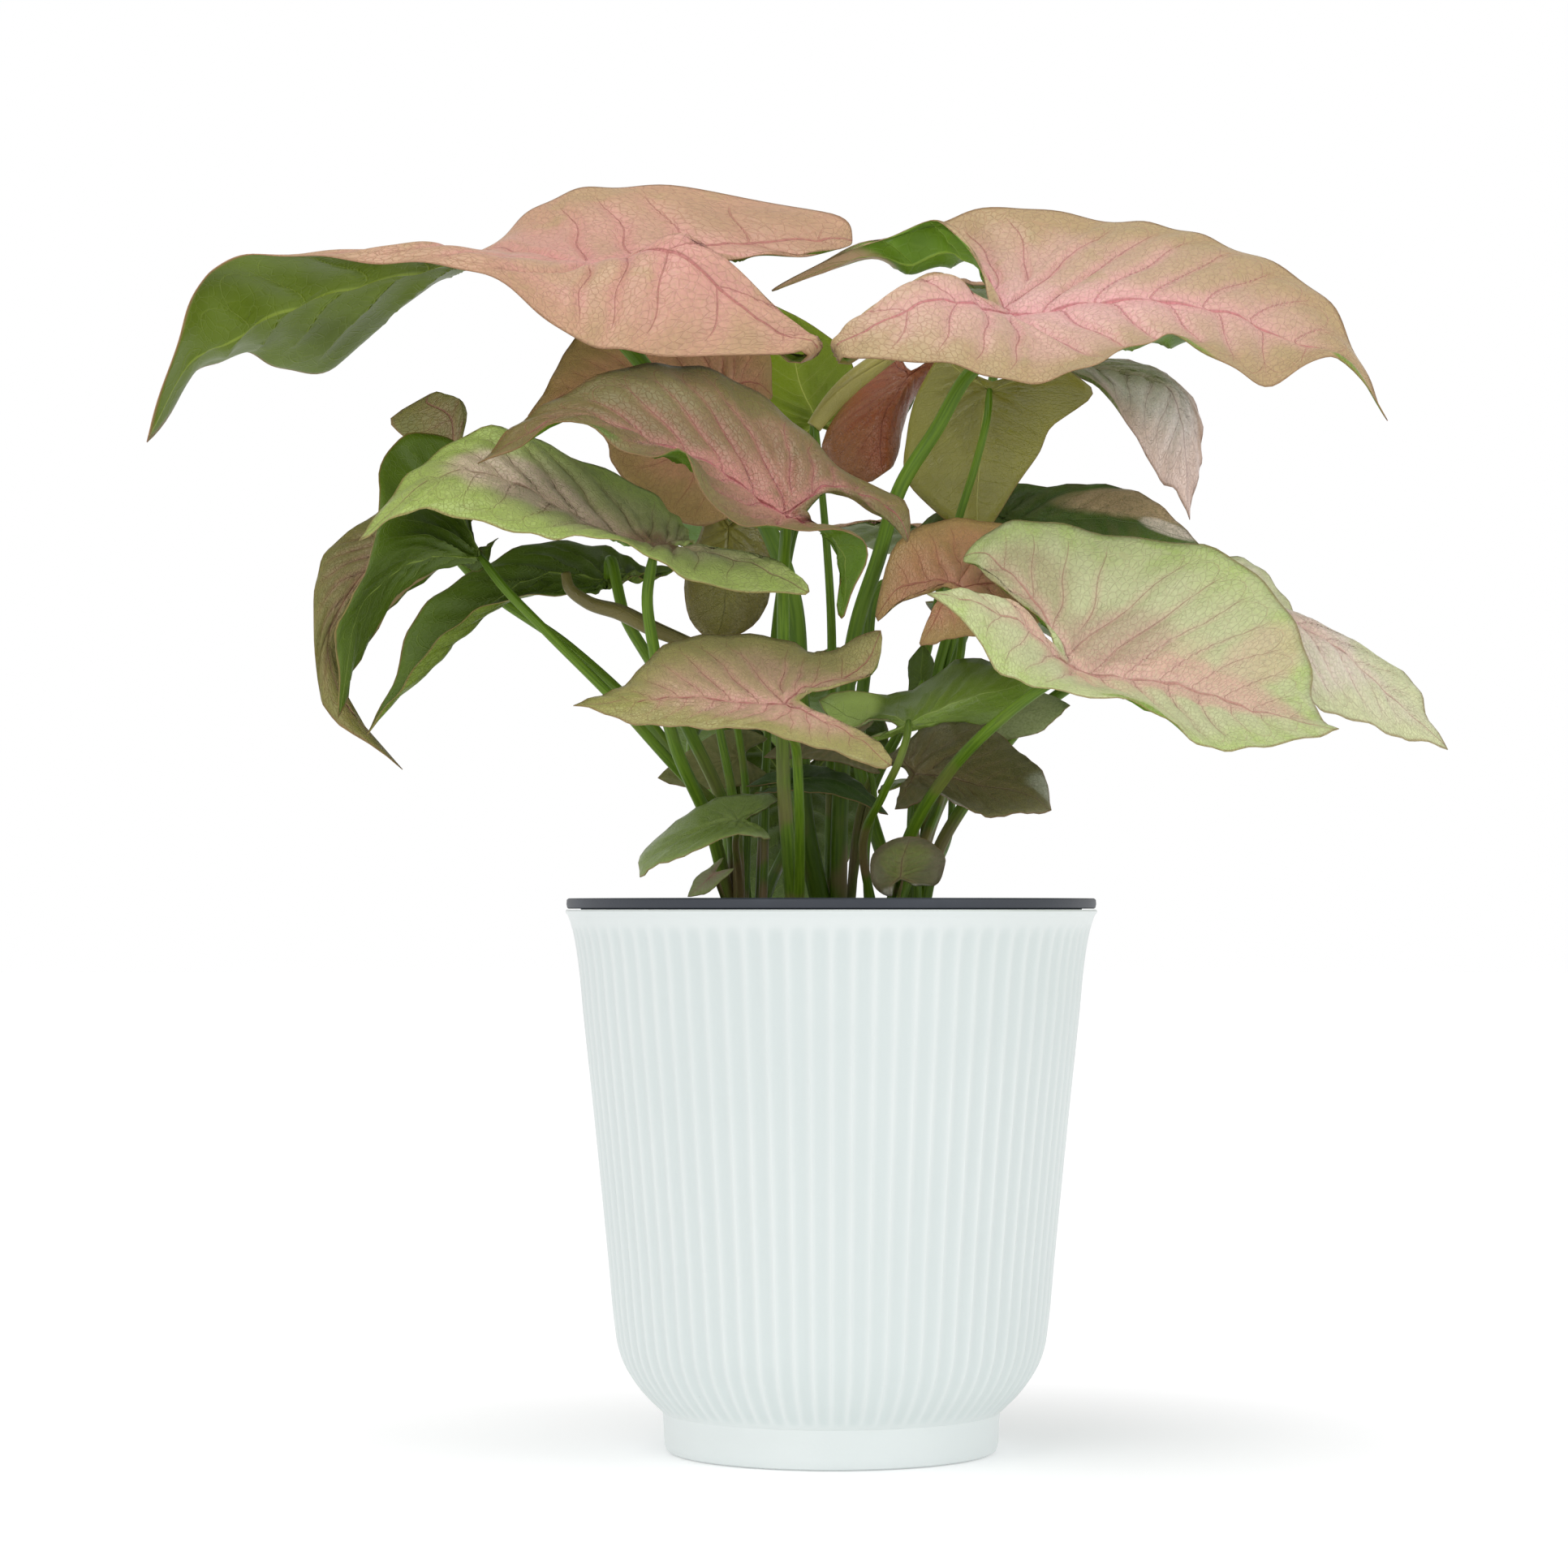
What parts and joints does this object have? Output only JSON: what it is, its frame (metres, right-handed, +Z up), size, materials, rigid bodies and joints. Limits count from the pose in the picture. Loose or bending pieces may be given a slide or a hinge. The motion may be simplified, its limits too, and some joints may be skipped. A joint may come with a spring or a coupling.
{
  "type": "potted arrowhead plant",
  "caption": "Bushy potted arrowhead plant with pink, lime and green arrow-shaped leaves on arching stalks, in a white fluted pot with a charcoal liner, to stand on a table or shelf",
  "frame": {"origin": "centre of the underside of the outer pot's foot", "axes": "+Z up along the pot's axis; -Y towards the side that the picture shows; +X to the right in the picture"},
  "size_m": [0.3647, 0.2601, 0.3596],
  "materials": {
    "white_glaze": "satin",
    "charcoal_plastic": "satin",
    "potting_mix": "matte",
    "green_stalk": "satin",
    "pink_blade": "satin",
    "lime_blade": "satin",
    "green_blade": "satin",
    "dark_green_blade": "satin",
    "olive_blade": "satin",
    "salmon_blade": "satin",
    "bronze_blade": "satin"
  },
  "bodies": {
    "root": {"outer_pot": "white_glaze", "inner_pot": "charcoal_plastic", "potting_soil": "potting_mix", "left_leafy_stem": "green_stalk", "front_leafy_stem": "green_stalk", "right_leafy_stem": "green_stalk", "middle_leafy_stem": "green_stalk", "back_left_leafy_stem": "green_stalk", "back_right_leafy_stem": "green_stalk", "wide_left_leaf": "pink_blade", "wide_right_leaf": "pink_blade", "brown_pink_leaf": "pink_blade", "lime_left_leaf": "lime_blade", "folded_left_leaf": "green_blade", "draped_left_leaf": "pink_blade", "hanging_green_leaf": "green_blade", "pink_centre_leaf": "pink_blade", "big_right_leaf": "lime_blade", "far_right_leaf": "pink_blade", "silvery_leaf": "pink_blade", "olive_back_leaf": "olive_blade", "red_brown_leaf": "salmon_blade", "bright_back_leaf": "green_blade", "salmon_leaf": "salmon_blade", "olive_centre_leaf": "olive_blade", "dark_right_leaf": "dark_green_blade", "orange_salmon_leaf": "salmon_blade", "lime_tip_leaf": "green_blade", "bronze_leaf": "bronze_blade", "glossy_small_leaf": "green_blade", "lower_left_leaf": "green_blade", "dark_low_leaf": "dark_green_blade", "baby_heart_leaf": "pink_blade", "pale_small_leaf": "lime_blade", "bronze_middle_leaf": "bronze_blade", "small_green_leaf": "green_blade", "shaded_left_leaf": "dark_green_blade", "far_side_leaf_1": "pink_blade", "far_side_leaf_2": "lime_blade", "far_side_leaf_3": "green_blade", "far_side_leaf_4": "green_blade", "far_side_leaf_5": "pink_blade", "far_side_leaf_6": "green_blade", "far_side_leaf_7": "pink_blade", "far_side_leaf_8": "pink_blade", "unfurling_leaf": "olive_blade", "rolled_shoot": "bronze_blade"}
  },
  "joints": []
}
